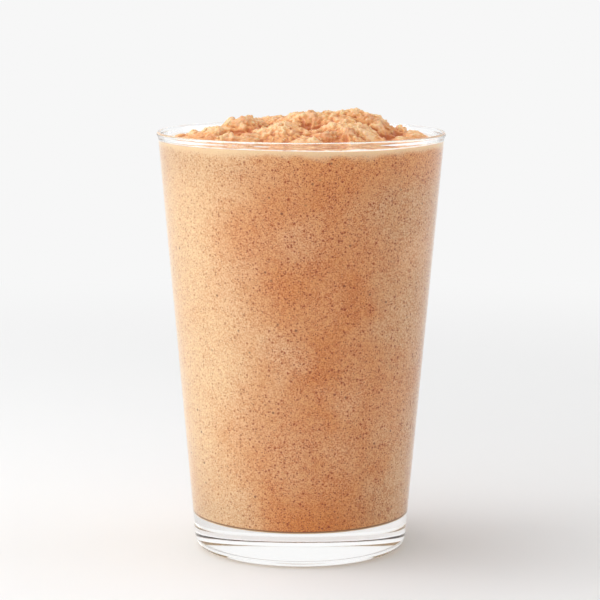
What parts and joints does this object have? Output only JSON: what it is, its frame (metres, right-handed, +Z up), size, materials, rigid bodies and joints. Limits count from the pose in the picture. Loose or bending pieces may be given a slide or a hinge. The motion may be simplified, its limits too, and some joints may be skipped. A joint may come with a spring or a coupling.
{
  "type": "frozen coffee drink",
  "caption": "Clear tapered glass tumbler with a thick base, filled almost to its beaded lip with speckled blended frozen coffee heaped unevenly above the rim.",
  "frame": {"origin": "centre of the tumbler's base, on the surface it stands on", "axes": "+Z up along the tumbler's axis; -Y faces the viewer; +X to the viewer's right"},
  "size_m": [0.088, 0.088, 0.1361],
  "materials": {
    "clear_glass": "polished clear",
    "coffee_slush": "moist grainy slush"
  },
  "bodies": {
    "root": {"tumbler": "clear_glass", "frozen_coffee": "coffee_slush"}
  },
  "joints": []
}
